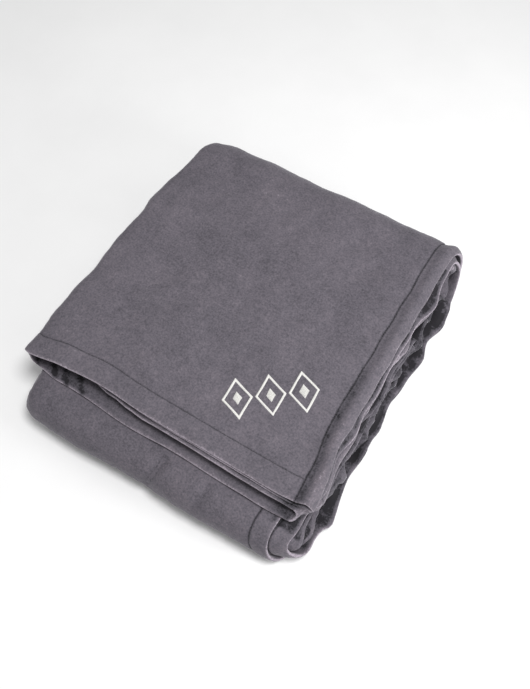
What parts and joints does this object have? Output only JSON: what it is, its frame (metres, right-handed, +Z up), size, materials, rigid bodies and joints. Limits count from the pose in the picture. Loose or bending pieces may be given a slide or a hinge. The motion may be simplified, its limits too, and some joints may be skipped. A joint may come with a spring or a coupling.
{
  "type": "folded throw blanket",
  "caption": "Hemmed charcoal fleece throw folded flat into a soft stack, with a top panel that folds open at the back and a small stitched emblem near one corner.",
  "frame": {"origin": "centre of the underside of the folded stack, on the surface it rests on", "axes": "+X towards the open side where the side hems lie one above another, -Y towards the rounded front fold, +Y towards the back fold, +Z up through the stack"},
  "size_m": [0.387, 0.464, 0.1008],
  "materials": {
    "fleece": "brushed matte",
    "fleece_hem": "brushed matte",
    "sewing_thread": "matte",
    "label_satin": "satin",
    "embroidery_thread": "satin"
  },
  "bodies": {
    "lower_stack": {"lower_fleece": "fleece", "side_hem_outer_lower": "fleece_hem", "side_hem_inner_lower": "fleece_hem", "side_stitch_lower": "sewing_thread", "end_hem_hidden": "fleece_hem", "end_stitch_hidden": "sewing_thread", "care_label": "label_satin", "back_fold_fleece": "fleece", "side_hem_outer_back": "fleece_hem", "side_hem_inner_back": "fleece_hem", "side_stitch_back": "sewing_thread"},
    "top_panel": {"top_fleece": "fleece", "side_hem_outer_top": "fleece_hem", "side_hem_inner_top": "fleece_hem", "side_stitch_top": "sewing_thread", "end_hem_top": "fleece_hem", "end_stitch_top": "sewing_thread", "corner_emblem": "embroidery_thread"}
  },
  "joints": [
    {"name": "top_panel_fold", "type": "hinge", "parent": "lower_stack", "child": "top_panel", "pos_m": [0, 0.202, 0.05], "axis": [-1, 0, 0], "range_deg": [0, 179.5], "deforming": ["back_fold_fleece", "side_hem_outer_back", "side_hem_inner_back", "side_stitch_back"]}
  ]
}
